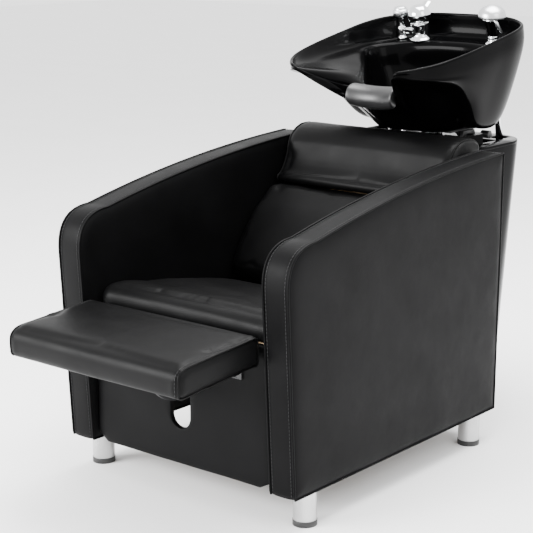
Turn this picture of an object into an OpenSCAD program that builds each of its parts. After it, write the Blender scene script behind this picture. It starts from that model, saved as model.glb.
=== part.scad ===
// Salon shampoo backwash unit: an upholstered armchair with a folding leg rest,
// and a tilting wash bowl carried on a console behind the backrest.
// Millimetres, +Z up. The chair faces -Y, and the sitter's left hand is at +X.
// Depths (y) inside the modules run from the foot of the arms' front edge to the rear;
// chair() then moves them so that the origin is the middle of the overall footprint.

/* [Chair] */
// Overall width across the arms
chair_w = 650; // [620:5:700]
// Thickness of each arm
arm_t = 76; // [66:1:84]
// Depth of the arms from front foot to rear edge
arm_d = 762; // [740:1:790]
// Height of the underside of the body above the floor
body_z = 77; // [65:1:90]
// Height of the arms at the rear
arm_h = 686; // [676:1:700]

/* [Legs] */
// Radius of the leg tubes
leg_r = 25; // [19:0.5:25]
// Height of the plastic foot below each tube
foot_h = 12; // [8:1:20]

/* [Leg rest] */
// Height of the hinge rod
hinge_z = 334; // [332:0.5:336]
// Droop of the pad at rest, in degrees
rest_tilt = 3.7; // [2:0.1:5]
// Length of the pad from the hinge to its front edge
pad_l = 243; // [220:1:250]
// Thickness of the pad
pad_t = 66; // [50:1:70]
// Mean radius of the ratchet quadrant
quadrant_r = 96; // [92:1:97]

/* [Bowl] */
// Tilt of the rim plane, rising to the rear, in degrees
rim_tilt = 10.7; // [9:0.1:12]
// Height of the rim at its front tips
tip_z = 873; // [865:1:885]
// Thickness of the moulded bowl walls
wall = 4; // [3:0.5:5]
// Height of the pivot on which the bowl tilts
pivot_z = 682; // [680:0.5:684]

/* [Console] */
// Half width of the console at the top
console_hw = 182; // [180:1:200]
// Depth of the console's rear face
console_y = 1133; // [1128:1:1145]
// Height of the console's lid
lid_z = 669; // [664:1:672]

/* [Hidden] */
$fn = 64;

vinyl = [0.10, 0.10, 0.11];
gloss_black = [0.03, 0.03, 0.035];
chromed = [0.80, 0.80, 0.82];
satin_steel = [0.66, 0.66, 0.67];
black_steel = [0.14, 0.14, 0.15];
timber = [0.72, 0.56, 0.38];
black_plastic = [0.05, 0.05, 0.05];

half_w = chair_w / 2;              // outer face of the arms
arm_in = half_w - arm_t;           // inner face of the arms
cover_t = 8;                       // padded vinyl cover on each face of an arm
band_t = 6;                        // vinyl band over the arm's edge
arm_lean = 24;                     // forward lean of the arms' front edge
arm_knee_z = 500;                  // where the front edge starts to round over
arm_front_z = 596;                 // top of the rounded front corner
arm_front_y = 64;                  // depth of that point
fit = 0.05;                        // running clearance on pins and bolts

leg_x = half_w - 33;               // leg centres
leg_front_y = 67;
leg_rear_y = arm_d - 66;
flange_t = 3;                      // plate welded on top of each leg
screw_x = 18;                      // its screws, from the leg's centre
screw_y = 26;

hinge_y = -8;                      // hinge rod of the leg rest
rod_r = 5;
knuckle_r = 9;
strap_x = 150;                     // centre of each hinge strap
board_low = 10.5;                  // underside of the pad above the rod, in the leg rest's frame
pad_hw = arm_in - 5;
quadrant_hw = 7;                   // half the radial width of the quadrant
quadrant_x = [14, 20];             // the quadrant's two faces
quadrant_end = 290;                // polar angle of its free end at rest
panel_y = [10, 24];                // front panel, front and rear faces
slot_hw = 28;                      // front slot, half width
slot_z = [157, 290];               // front slot, bottom and top

seat_slope = 9.4;                  // seat falls towards the rear by this angle
deck_front_z = 382;                // top of the seat deck at deck_front_y
deck_front_y = 24;
deck_t = 12;
seat_thick = 60;                   // cushion above the deck
fold_y = 609;                      // crease between back cushion and bolster
fold_z = 577;

tip_y = 569;                       // front tips of the bowl
pivot_y = 950;                     // bowl pivot
drain_v = 345;                     // drain centre, in the rim plane's own coordinates
floor_w = -206;                    // bowl floor at the drain
tap_x = 117;                       // spray at +tap_x, faucet on the other side
tap_v = 466;
deck_w = -56;                      // level of the bowl's rear deck
faucet_x = -tap_x + 20;            // mixer valve
breaker_x = -tap_x - 36;           // vacuum breaker beside it
seat_gap = 0.7;                    // sealant between the deck and what stands on it
console_front_y = arm_d + 2;
console_low_z = 95;
console_r = 100;                   // rear corner radius
console_inset = 25;                // the walls lean in by this much at the bottom
pad_r = 30;                        // round over the pad's top front edge
pad_nose = board_low + pad_t - pad_r;   // top of the pad's flat front face
front_end = hinge_y - pad_l * cos(rest_tilt) - pad_nose * sin(rest_tilt);
mid_y = (console_y + front_end) / 2;

// ---------- placing and basic shapes

module chair() { translate([0, -mid_y, 0]) children(); }

// s = 1 keeps the left-hand (+X) form, s = -1 mirrors it to the right
module hand(s) {
    if (s > 0) children();
    else mirror([1, 0, 0]) children();
}

// extrudes a side-view outline, drawn as [y, z], from x0 to x1
module along_x(x0, x1) {
    translate([x0, 0, 0]) rotate([90, 0, 90]) linear_extrude(x1 - x0) children();
}

module block(x, y, z) { translate([x[0], y[0], z[0]]) cube([x[1] - x[0], y[1] - y[0], z[1] - z[0]]); }

module rod(x, y, z, r) { translate([x[0], y, z]) rotate([0, 90, 0]) cylinder(r = r, h = x[1] - x[0]); }

module ring(r_out, r_in, h) {
    difference() {
        cylinder(r = r_out, h = h);
        translate([0, 0, -1]) cylinder(r = r_in, h = h + 2);
    }
}

// the bowl's own frame: x, v along the rim plane to the rear, w square to it
module bowl_frame() { chair() translate([0, tip_y, tip_z]) rotate([rim_tilt, 0, 0]) children(); }

// the leg rest's own frame, on its hinge, with the pad's underside level
module legrest_frame() { chair() translate([0, hinge_y, hinge_z]) rotate([rest_tilt, 0, 0]) children(); }

function bezier(a, b, c, n) =
    [for (i = [0:n]) let (t = i / n) a * (1 - t) * (1 - t) + b * 2 * t * (1 - t) + c * t * t];

// ---------- legs

module leg(y, s) {
    chair() hand(s) translate([leg_x, y, 0]) color(satin_steel) {
        translate([0, 0, foot_h]) ring(leg_r, leg_r - 1.5, body_z - foot_h);
        difference() {
            block([-24.8, 24.8], [-31, 31], [body_z, body_z + flange_t]);
            for (sx = [-1, 1], sy = [-1, 1])
                translate([sx * screw_x, sy * screw_y, body_z - 1]) cylinder(r = 2.8, h = flange_t + 2);
        }
    }
}

module leg_feet() {
    chair() color(black_plastic) for (s = [-1, 1], y = [leg_front_y, leg_rear_y])
        translate([s * leg_x, y, 0]) {
            cylinder(r = leg_r + 0.8, h = foot_h);
            translate([0, 0, foot_h]) ring(leg_r - 1.7, leg_r - 5, 26);
        }
}

module leg_screws() {
    chair() color(chromed) for (s = [-1, 1], y = [leg_front_y, leg_rear_y], sx = [-1, 1], sy = [-1, 1])
        translate([s * leg_x + sx * screw_x, y + sy * screw_y, 0]) {
            translate([0, 0, body_z - 2.5]) cylinder(r = 4.2, h = 2.5);
            translate([0, 0, body_z]) cylinder(r = 2.5, h = 28);
        }
}

// ---------- arms

// side outline of an arm, drawn in by e
function arm_outline(e) = concat(
    [[arm_d - e, body_z], [e, body_z]],
    bezier([-arm_lean + e, arm_knee_z], [-arm_lean - 6 + e, arm_front_z - 2 - e],
           [arm_front_y + e, arm_front_z - e], 10),
    bezier([arm_front_y + 10, arm_front_z + 2 - e], [400, 671 - e], [arm_d - e, arm_h - e], 10));

module arm_frame(s) {
    window_y = [110, 640];
    chair() hand(s) color(timber) difference() {
        intersection() {
            along_x(arm_in + cover_t, half_w - cover_t) polygon(arm_outline(band_t));
            block([0, half_w], [-100, arm_d], [body_z + flange_t, arm_h]);
        }
        along_x(0, half_w) polygon([
            [window_y[0], 150], [window_y[1], 150], [window_y[1], 610], [window_y[0] + 120, 580],
            [window_y[0], 520]]);
    }
}

module arm_outer(s) {
    chair() hand(s) color(vinyl) along_x(half_w - cover_t, half_w) polygon(arm_outline(0));
}

module arm_inner(s) {
    chair() hand(s) color(vinyl) along_x(arm_in, arm_in + cover_t) polygon(arm_outline(0));
}

module arm_band(s) {
    chair() hand(s) color(vinyl) along_x(arm_in + cover_t, half_w - cover_t) difference() {
        polygon(arm_outline(0));
        polygon(arm_outline(band_t));
    }
}

// ---------- seat

function deck_z(y) = deck_front_z - (y - deck_front_y) * tan(seat_slope);

module front_panel() {
    chair() color(vinyl) difference() {
        block([-arm_in, arm_in], panel_y, [body_z, 380]);
        block([-slot_hw, slot_hw], [0, 50], [slot_z[0] + slot_hw, slot_z[1]]);
        translate([0, 50, slot_z[0] + slot_hw]) rotate([90, 0, 0]) cylinder(r = slot_hw, h = 50);
    }
}

module front_rail() {
    chair() color(timber) block([-arm_in, arm_in], [panel_y[1], 50], [slot_z[1], 362]);
}

module seat_deck() {
    chair() color(timber) along_x(-arm_in, arm_in) polygon([
        [deck_front_y, deck_z(deck_front_y)], [470, deck_z(470)],
        [470, deck_z(470) - deck_t], [deck_front_y, deck_z(deck_front_y) - deck_t]]);
}

module seat_cleats() {
    chair() color(timber) for (s = [-1, 1]) hand(s) along_x(arm_in - 30, arm_in) polygon([
        [110, deck_z(110) - deck_t], [460, deck_z(460) - deck_t],
        [460, deck_z(460) - deck_t - 30], [110, deck_z(110) - deck_t - 30]]);
}

module seat_cushion() {
    front_y = 16;
    top_front = deck_z(60) + seat_thick - 2;
    chair() color(vinyl) along_x(-arm_in + 2, arm_in - 2) polygon(concat(
        [[470, deck_z(470)], [deck_front_y, deck_z(deck_front_y)]],
        bezier([front_y, deck_z(front_y) + 8], [front_y - 4, top_front], [60, top_front], 8),
        bezier([80, deck_z(80) + seat_thick + 2], [300, deck_z(300) + seat_thick + 14],
               [462, deck_z(462) + seat_thick - 8], 6)));
}

// ---------- back

module back_rails() {
    chair() color(timber) {
        block([-arm_in, arm_in], [708, 750], [500, 560]);
        block([-arm_in, arm_in], [708, 750], [110, 190]);
    }
}

back_foot = [512, 350];            // lower front corner of the back board
back_head = [678, 562];            // its upper front corner

module back_board() {
    chair() color(timber) along_x(-arm_in, arm_in) polygon([
        back_foot, back_head, back_head + [12, -6], back_foot + [12, -6]]);
}

module back_cushion() {
    chair() color(vinyl) along_x(-arm_in + 10, arm_in - 10) polygon(concat(
        [back_head + [-1, 0], back_foot + [-1, 4], [476, 352], [456, 372]],
        bezier([448, 392], [478, 470], [545, 530], 6),
        [[fold_y, fold_z], [fold_y + 30, 572]]));
}

module back_bolster() {
    chair() color(vinyl) along_x(-arm_in + 10, arm_in - 10) polygon(concat(
        bezier([fold_y + 4, fold_z + 5], [645, 585], [660, 655], 5),
        bezier([668, 676], [694, 718], [736, 719], 5),
        bezier([744, 718.6], [792, 716], [798, 685], 5),
        [[794, 677], [766, 672], [745, 671], [745, 610], [684, 568], [fold_y + 34, 574]]));
}

module back_panel() {
    chair() color(vinyl) block([-arm_in, arm_in], [arm_d - 12, arm_d], [body_z, 660]);
}

// ---------- steel support behind the back

module support_frame() {
    post_x = [88, 124];
    cheek_x = [101, 109];
    chair() color(black_steel) {
        for (s = [-1, 1]) hand(s) {
            difference() {
                block(post_x, [console_front_y, 804], [118, 600]);
                for (z = [150, 530])
                    translate([106, 700, z]) rotate([-90, 0, 0]) cylinder(r = 5.5, h = 120);
            }
            block(post_x, [804, 1010], [564, 600]);
            difference() {
                along_x(cheek_x[0], cheek_x[1])
                    polygon([[895, 600], [1005, 600], [976, 700], [924, 700]]);
                rod([90, 120], pivot_y, pivot_z, 5 + fit);
            }
        }
        block([-post_x[0], post_x[0]], [console_front_y, 804], [564, 600]);
        block([-post_x[0], post_x[0]], [console_front_y, 804], [118, 150]);
    }
}

module frame_bolts() {
    chair() color(satin_steel) for (s = [-1, 1], z = [150, 530])
        translate([s * 106, 0, z]) rotate([-90, 0, 0]) {
            translate([0, 0, 722]) cylinder(r = 5, h = 92);
            translate([0, 0, 804]) cylinder(r = 9, h = 8, $fn = 6);
        }
}

// ---------- console

module console_plan(inset) {
    y = console_y - inset;
    x = console_hw - inset;
    hull() {
        block([-x, x], [console_front_y, console_front_y + 1], [0, 1]);
        for (s = [-1, 1]) translate([s * (x - console_r), y - console_r, 0])
            cylinder(r = console_r, h = 1, $fn = 72);
    }
}

// the console's tapered outside, drawn in by t
module console_body(t) {
    hull() {
        translate([0, 0, lid_z - 9]) console_plan(t);
        translate([0, 0, console_low_z]) console_plan(console_inset + t);
    }
}

module console_shell() {
    chair() color(gloss_black) difference() {
        console_body(0);
        translate([0, -1, 0]) console_body(wall);
        block([-console_hw + 30, console_hw - 30], [console_front_y - 1, console_front_y + 10], [0, 700]);
        block([-400, 400], [700, console_y + 10], [lid_z - 8, lid_z + 10]);
        block([-400, 400], [700, console_y + 10], [0, console_low_z + 1]);
        block([-85, 85], [console_y - 60, console_y + 10], [220, 480]);
    }
}

module lid_outline() {
    side_l = console_y - console_r - console_front_y;
    corner_x = console_hw - console_r;
    translate([-console_hw, console_front_y]) square([2 * console_hw, side_l]);
    translate([-corner_x, console_front_y]) square([2 * corner_x, side_l + console_r]);
    for (s = [-1, 1]) translate([s * corner_x, console_y - console_r]) circle(r = console_r);
}

module console_lid() {
    opening_y = [876, 1036];
    chair() color(gloss_black) translate([0, 0, lid_z - 8]) linear_extrude(8) difference() {
        lid_outline();
        translate([-138, opening_y[0]]) square([276, opening_y[1] - opening_y[0]]);
        for (x = [faucet_x, tap_x], y = [1076, 1088]) translate([x, y]) circle(r = 20);
    }
    chair() color(gloss_black) translate([0, 0, lid_z - 2]) linear_extrude(27) difference() {
        translate([-143, 871]) square([286, 89]);
        translate([-138, 876]) square([276, 100]);
    }
}

module access_panel() {
    lean = atan(console_inset / (lid_z - 9 - console_low_z));
    chair() color(gloss_black) translate([0, console_y - 13, 350]) rotate([-lean, 0, 0]) {
        block([-95, 95], [0.3, 3.3], [-140, 140]);
        for (x = [-88, 88], z = [-133, 133]) translate([x, 0, z]) rotate([-90, 0, 0])
            translate([0, 0, -5]) cylinder(r = 3, h = 10.5);
    }
}

// ---------- bowl shells

// Half of each loop, from the rear middle round the left side, the front tip and the neck
// notch to the front middle: [x, v, w] inside the bowl, from the rim to the floor.
rim_edge = [[0, 533, 0], [80, 530, 0], [150, 512, 0], [205, 465, 0], [226, 400, 0], [228, 320, 0],
    [227, 240, 0], [222, 165, 0], [208, 90, 0], [178, 32, 0], [140, 2, -4], [112, 50, -40],
    [82, 112, -75], [45, 130, -88], [0, 134, -90]];
wall_foot = [[0, 509, -56], [80, 507, -56], [140, 489, -56], [181, 444, -54], [202, 388, -48],
    [206, 315, -41], [204, 238, -35], [196, 168, -30], [182, 106, -26], [160, 60, -22],
    [134, 36, -20], [104, 78, -52], [76, 126, -84], [42, 143, -95], [0, 147, -97]];
basin_edge = [[0, 450, -57], [72, 446, -57], [128, 430, -57], [164, 402, -57], [179, 372, -57],
    [179, 336, -57], [160, 296, -58], [138, 260, -61], [118, 228, -65], [100, 202, -69],
    [84, 180, -74], [68, 165, -81], [50, 158, -90], [27, 158, -98], [0, 159, -101]];
basin_side = [[0, 438, -120], [65, 434, -120], [116, 418, -120], [148, 392, -120], [160, 362, -120],
    [158, 328, -120], [142, 295, -120], [124, 266, -120], [108, 240, -120], [94, 219, -120],
    [80, 202, -122], [65, 191, -124], [48, 185, -127], [26, 184, -130], [0, 184, -131]];
basin_foot = [[0, 418, -180], [52, 415, -180], [92, 402, -180], [118, 380, -180], [128, 352, -180],
    [124, 324, -180], [112, 298, -178], [98, 276, -175], [86, 258, -173], [74, 244, -171],
    [62, 234, -170], [50, 227, -169], [36, 223, -168], [19, 222, -168], [0, 222, -168]];

// the same stations on the outside, as [x, y, z] of the chair
skirt_upper = [[0, 1096, 905], [80, 1093, 905], [150, 1075, 903], [204, 1029, 897], [224, 964, 887],
    [225, 888, 874], [224, 811, 864], [219, 739, 860], [205, 662, 856], [176, 604, 859],
    [137, 575, 860], [110, 616, 832], [82, 682, 796], [45, 700, 784], [0, 704, 782]];
skirt_edge = [[0, 1080, 770], [75, 1077, 770], [132, 1060, 768], [168, 1018, 755], [180, 960, 728],
    [186, 876, 740], [202, 806, 796], [208, 737, 834], [199, 660, 846], [172, 608, 852],
    [133, 585, 854], [104, 630, 822], [76, 690, 786], [42, 712, 773], [0, 716, 771]];
skirt_low = [[0, 1062, 728], [68, 1059, 728], [112, 1044, 726], [138, 1006, 718], [142, 955, 711],
    [140, 893, 718], [142, 838, 760], [145, 782, 798], [136, 720, 815], [120, 682, 822],
    [100, 672, 822], [84, 696, 803], [64, 738, 764], [36, 758, 747], [0, 762, 744]];
foot_ring = [[0, 1040, 707], [52, 1037, 707], [84, 1022, 707], [98, 996, 707], [104, 962, 707],
    [106, 926, 707], [104, 892, 707], [99, 866, 706], [91, 848, 706], [80, 836, 706], [67, 827, 706],
    [53, 821, 706], [37, 817, 706], [19, 815, 706], [0, 814, 706]];

function drain_ring(r, w) = [for (i = [0:14]) let (a = 90 - i * 180 / 14)
    [r * cos(a), drain_v + r * sin(a), w]];

// [x, y, z] of the chair in the bowl's frame
function to_bowl(p) = let (y = p.y - tip_y, z = p.z - tip_z)
    [p.x, y * cos(rim_tilt) + z * sin(rim_tilt), z * cos(rim_tilt) - y * sin(rim_tilt)];

// closes a half loop into a whole one, left half then its mirror image
function whole(half) = let (n = len(half) - 1)
    concat(half, [for (i = [n - 1:-1:1]) [-half[i].x, half[i].y, half[i].z]]);

// smooth curve through a closed loop, m steps between neighbours
function smooth_loop(p, m) = let (n = len(p)) [for (i = [0:n - 1], j = [0:m - 1])
    let (t = j / m, a = p[(i + n - 1) % n], b = p[i], c = p[(i + 1) % n], d = p[(i + 2) % n])
    0.5 * (2 * b + (c - a) * t + (2 * a - 5 * b + 4 * c - d) * t * t
        + (3 * b - a - 3 * c + d) * t * t * t)];

// one curve step between rings, so that the walls are rounded from rim to floor
function smooth_rings(r, m) = let (n = len(r)) concat(
    [for (i = [0:n - 2], j = [0:m - 1]) let (t = j / m, a = r[max(i - 1, 0)], b = r[i],
        c = r[i + 1], d = r[min(i + 2, n - 1)]) [for (k = [0:len(b) - 1])
        0.5 * (2 * b[k] + (c[k] - a[k]) * t + (2 * a[k] - 5 * b[k] + 4 * c[k] - d[k]) * t * t
            + (3 * b[k] - a[k] - 3 * c[k] + d[k]) * t * t * t)]],
    [r[n - 1]]);

function unit(a) = a / max(norm(a), 0.0001);

// rings moved by t along their surface normals
function offset_rings(r, t) = let (n = len(r), m = len(r[0])) [for (i = [0:n - 1])
    [for (k = [0:m - 1]) let (along = r[i][(k + 1) % m] - r[i][(k + m - 1) % m],
        down = r[min(i + 1, n - 1)][k] - r[max(i - 1, 0)][k]) r[i][k] + t * unit(cross(along, down))]];

// closed shell between two stacks of rings that share their ring and point counts
module ring_shell(a, b) {
    n = len(a);
    m = len(a[0]);
    stack = concat(a, [for (i = [n - 1:-1:0]) b[i]]);
    polyhedron(
        points = [for (r = stack) each r],
        faces = [for (i = [0:2 * n - 1], k = [0:m - 1], half = [0, 1])
            let (i2 = (i + 1) % (2 * n), k2 = (k + 1) % m)
            half == 0 ? [i * m + k, i * m + k2, i2 * m + k] : [i * m + k2, i2 * m + k2, i2 * m + k]],
        convexity = 8);
}

function loop(half) = smooth_loop(whole(half), 3);

// a level loop drawn in by t
function inset(r, t) = let (m = len(r)) [for (k = [0:m - 1])
    r[k] - t * unit(cross(r[(k + 1) % m] - r[(k + m - 1) % m], [0, 0, -1]))];

inside = smooth_rings([inset(loop(rim_edge), 2 * wall + 0.6),
    for (h = [wall_foot, basin_edge, basin_side, basin_foot, drain_ring(60, floor_w + 4),
        drain_ring(24, floor_w)]) loop(h)], 2);
outside = concat(
    smooth_rings([loop(rim_edge), for (h = [skirt_upper, skirt_edge, skirt_low, foot_ring])
        loop([for (p = h) to_bowl(p)])], 2),
    [loop(drain_ring(44, floor_w - 23))]);

module bowl_basin() {
    bowl_frame() color(gloss_black) difference() {
        ring_shell(inside, offset_rings(inside, wall));
        for (x = [breaker_x, faucet_x, tap_x])
            translate([x, tap_v, deck_w - 30]) cylinder(r = 12, h = 60);
    }
}

module bowl_skirt() {
    bowl_frame() color(gloss_black) difference() {
        ring_shell(offset_rings(outside, -wall), outside);
        for (x = [faucet_x, tap_x]) translate([x, tap_v, -330]) cylinder(r = 19, h = 300);
    }
}

// section of the gel neck rest about the notch edge, as [v, w]
neck_section = [[13, -2], [5, 8], [-11, 10], [-27, 3], [-36, -13], [-33, -29], [-22, -38],
    [-14, -36], [-21, -26], [-16, -11], [-2, 1.5], [12, -5]];

module neck_rest() {
    half = 70;
    steps = 12;
    n = len(neck_section);
    bowl_frame() color(black_plastic) intersection() {
        polyhedron(
            points = [for (i = [0:steps]) let (x = half * (2 * i / steps - 1), bend = x * x / 6700)
                for (p = neck_section) [x, 134 - 22 * bend + p.x, -90 + 15 * bend + p.y]],
            faces = concat([[for (k = [0:n - 1]) k], [for (k = [n - 1:-1:0]) steps * n + k]],
                [for (i = [0:steps - 1], k = [0:n - 1]) let (k2 = (k + 1) % n)
                    [i * n + k, (i + 1) * n + k, (i + 1) * n + k2, i * n + k2]]),
            convexity = 6);
        block([-66, 66], [0, 300], [-200, 50]);
    }
}

// ---------- bowl fittings

module bowl_bracket() {
    ear_x = [92, 97];
    chair() color(black_steel) {
        difference() {
            block([-ear_x[1], ear_x[1]], [884, 1016], [698.4, 703.4]);
            translate([0, 952, 690]) cylinder(r = 36, h = 30);
        }
        for (s = [-1, 1]) hand(s) difference() {
            union() {
                along_x(ear_x[0], ear_x[1])
                    polygon([[908, 700], [992, 700], [968, pivot_z], [932, pivot_z]]);
                rod(ear_x, pivot_y, pivot_z, 16);
            }
            rod([80, 110], pivot_y, pivot_z, 5 + fit);
        }
    }
}

module pivot_bolts() {
    chair() color(satin_steel) {
        for (s = [-1, 1]) hand(s) {
            rod([86, 109], pivot_y, pivot_z, 5);
            rod([83, 91.5], pivot_y, pivot_z, 8);
        }
        rod([108, 127], pivot_y, pivot_z, 5);
        rod([-116, -109.2], pivot_y, pivot_z, 9);
    }
}

module friction_washers() {
    chair() color(black_plastic) for (s = [-1, 1]) hand(s)
        translate([97.3, pivot_y, pivot_z]) rotate([0, 90, 0]) ring(15, 5 + 4 * fit, 3.4);
}

module tilt_lever() {
    knob_y = 1010;
    chair() color(black_plastic) difference() {
        union() {
            rod([110, 125], pivot_y, pivot_z, 11);
            along_x(112, 119) polygon([
                [pivot_y, pivot_z - 6], [knob_y, pivot_z - 1], [knob_y, pivot_z + 7], [pivot_y, pivot_z + 6]]);
            rod([110, 132], knob_y, pivot_z + 3, 10);
        }
        rod([100, 130], pivot_y, pivot_z, 5 + fit);
    }
}

module on_drain() { bowl_frame() translate([0, drain_v, 0]) children(); }

module drain_flange() {
    on_drain() color(chromed) {
        translate([0, 0, floor_w + 1.3]) ring(33, 19, 3);
        translate([0, 0, floor_w - 56]) ring(22, 19, 58);
    }
}

module drain_gasket() {
    on_drain() color(black_plastic) translate([0, 0, floor_w - 9]) ring(33, 22.2, 4);
}

module drain_nut() {
    on_drain() color(chromed) translate([0, 0, floor_w - 19]) difference() {
        cylinder(r = 32, h = 9.5, $fn = 6);
        translate([0, 0, -1]) cylinder(r = 22.2, h = 12);
    }
}

module drain_tailpiece() {
    on_drain() color(chromed) {
        translate([0, 0, floor_w - 134]) ring(16, 14.4, 60);
        translate([0, 0, floor_w - 75]) ring(15.5, 14.4, 18);
        translate([0, 0, floor_w - 62]) ring(22, 15, 5.5);
        translate([0, 0, floor_w - 68]) difference() {
            cylinder(r = 29, h = 24, $fn = 8);
            translate([0, 0, 5]) cylinder(r = 22.3, h = 24);
            translate([0, 0, -1]) cylinder(r = 15, h = 24);
        }
    }
}

module hair_strainer() {
    on_drain() color(chromed) {
        translate([0, 0, floor_w + 4.6]) ring(27, 16, 1.6);
        translate([0, 0, floor_w - 18]) difference() {
            ring(17.6, 16.2, 23);
            for (a = [0:30:330], z = [6, 13]) rotate([0, 0, a]) translate([14, 0, z])
                rotate([0, 90, 0]) cylinder(r = 2, h = 6, $fn = 16);
        }
        translate([0, 0, floor_w - 18]) difference() {
            cylinder(r = 17, h = 1.6);
            for (a = [0:60:300]) rotate([0, 0, a]) translate([10, 0, -1])
                cylinder(r = 2.2, h = 4, $fn = 16);
        }
        translate([0, 0, floor_w - 17]) cylinder(r = 2, h = 26);
        translate([0, 0, floor_w + 8]) cylinder(r = 5, h = 5);
    }
}

module at_tap(x) { bowl_frame() translate([x, tap_v, 0]) children(); }

module faucet_body() {
    at_tap(faucet_x) color(chromed) {
        translate([0, 0, deck_w + seat_gap]) rotate_extrude() polygon([
            [0, 0], [28, 0], [28, 3], [23, 8], [20, 14], [20, 30], [23, 36], [23, 43], [0, 43]]);
        translate([-40, 0, deck_w + 22]) rotate([0, 90, 0]) cylinder(r = 9, h = 30);
        translate([0, 0, deck_w - 56]) cylinder(r = 11, h = 60);
        translate([0, 0, deck_w - 24]) cylinder(r = 19, h = 9, $fn = 6);
    }
}

module faucet_stem() {
    at_tap(faucet_x) color(chromed) translate([0, 0, deck_w + 43.8]) {
        cylinder(r = 15.5, h = 6);
        for (s = [-1, 1]) difference() {
            translate([s > 0 ? 9 : -13, -9, 5]) cube([4, 18, 22]);
            translate([-20, 0, 19]) rotate([0, 90, 0]) cylinder(r = 3 + fit, h = 40);
        }
    }
}

lever_w = deck_w + 62.8;           // pin on which the faucet's lever lifts

module faucet_lever() {
    at_tap(faucet_x) color(chromed) translate([0, 0, lever_w]) {
        difference() {
            intersection() {
                sphere(r = 29);
                translate([-30, -30, -10]) cube([60, 60, 34]);
            }
            translate([0, 0, -30]) cylinder(r = 22, h = 42);
            translate([-8.5, -24, -12]) cube([17, 48, 12]);
        }
        translate([-8.5, -8, -3.5]) cube([17, 16, 18]);
        translate([-18, 0, 0]) rotate([0, 90, 0]) cylinder(r = 3, h = 36);
        translate([0, 12, 8]) rotate([-62, 0, 0]) linear_extrude(34) scale([1, 0.4]) circle(r = 11);
    }
}

module vacuum_breaker() {
    at_tap(breaker_x) color(chromed) difference() {
        union() {
            translate([0, 0, deck_w + seat_gap]) rotate_extrude() polygon([
                [0, 0], [14, 0], [14, 6], [9, 9], [9, 13], [12, 15], [12, 30], [8, 33], [8, 56],
                [15, 60], [22, 62], [23, 66], [23, 76], [19, 81], [10, 84], [0, 84.5]]);
            translate([0, 0, deck_w - 40]) cylinder(r = 9, h = 44);
            translate([0, 0, deck_w - 22]) cylinder(r = 14, h = 8, $fn = 6);
        }
        translate([0, 0, deck_w - 41]) cylinder(r = 6, h = 40);
    }
}

// braided supply hose hanging from the mixer's shank, with its union nut at w = low
module supply(x, low) {
    at_tap(x) color(satin_steel) {
        translate([0, 0, low + 5]) cylinder(r = 4.5, h = deck_w - 61.2 - low);
        translate([0, 0, low - 6]) difference() {
            cylinder(r = 8.5, h = 20, $fn = 6);
            translate([0, 0, -1]) cylinder(r = 6.6, h = 12);
        }
    }
}

module hot_supply() { supply(faucet_x - 7, -322); }
module cold_supply() { supply(faucet_x + 7, -352); }

guide_low = -345;                  // lower end of the chrome hose guide

module spray_socket() {
    at_tap(tap_x) color(chromed) difference() {
        translate([0, 0, deck_w + seat_gap]) rotate_extrude() polygon([
            [0, 0], [21, 0], [21, 3], [15, 7], [14, 12], [0, 12]]);
        translate([0, 0, deck_w - 5]) cylinder(r = 9.5 + fit, h = 40);
    }
}

module hose_guide() {
    at_tap(tap_x) color(chromed) translate([0, 0, guide_low]) ring(9.5, 8, deck_w + 5 - guide_low);
}

module spray_head() {
    at_tap(tap_x) color(chromed) translate([0, 0, deck_w]) rotate_extrude() polygon([
        [0, 5.5], [9, 5.5], [9, 20], [18, 24], [20, 30], [22, 60], [26, 66], [37, 69], [38.5, 74],
        [37, 84], [30, 92], [18, 97], [0, 98.5]]);
}

module spray_hose() {
    at_tap(tap_x) color(black_plastic) translate([0, 0, guide_low + 2])
        cylinder(r = 6.5, h = deck_w + 5.5 - guide_low - 2);
}

// ---------- leg rest

board_y = [-224, -20];
board_hw = pad_hw - 22;
board_t = 12;

module legrest_pad() {
    low = board_low;
    top = board_low + pad_t;
    legrest_frame() color(vinyl) difference() {
        along_x(-pad_hw, pad_hw) polygon(concat(
            [[4, low + 3], [4, top - 12]], bezier([4, top - 10], [4, top], [-10, top], 4),
            bezier([-pad_l + pad_r + 8, top], [-pad_l, top], [-pad_l, pad_nose], 8),
            bezier([-pad_l, low + 16], [-pad_l, low], [-pad_l + 16, low], 5), [[1, low]]));
        block([-board_hw, board_hw], board_y, [low - 1, low + board_t]);
    }
}

module legrest_board() {
    legrest_frame() color(black_plastic)
        block([-board_hw, board_hw], board_y, [board_low, board_low + board_t]);
}

module hinge_arms() {
    strap = [strap_x - 12, strap_x + 12];
    legrest_frame() color(black_steel) for (s = [-1, 1]) hand(s) difference() {
        union() {
            block(strap, [-185, 0], [board_low - 4, board_low]);
            rod(strap, 0, 0, knuckle_r);
        }
        rod([strap[0] - 1, strap[1] + 1], 0, 0, rod_r + fit);
    }
}

module hinge_brackets() {
    chair() color(black_steel) for (s = [-1, 1]) hand(s) difference() {
        union() {
            block([strap_x - 24, strap_x + 24], [panel_y[0] - 4, panel_y[0]], [300, hinge_z + knuckle_r]);
            for (x = [strap_x - 18, strap_x + 12.6]) {
                rod([x, x + 5.4], hinge_y, hinge_z, knuckle_r);
                block([x, x + 5.4], [hinge_y, panel_y[0] - 2], [hinge_z - knuckle_r, hinge_z + knuckle_r]);
            }
        }
        rod([strap_x - 30, strap_x + 30], hinge_y, hinge_z, rod_r + fit);
        for (x = [-1, 1]) translate([strap_x + x * 8, 0, 308]) rotate([-90, 0, 0]) cylinder(r = 2.6, h = 40);
    }
}

module hinge_rod() {
    chair() color(satin_steel) rod([-strap_x - 22, strap_x + 22], hinge_y, hinge_z, rod_r);
}

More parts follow.
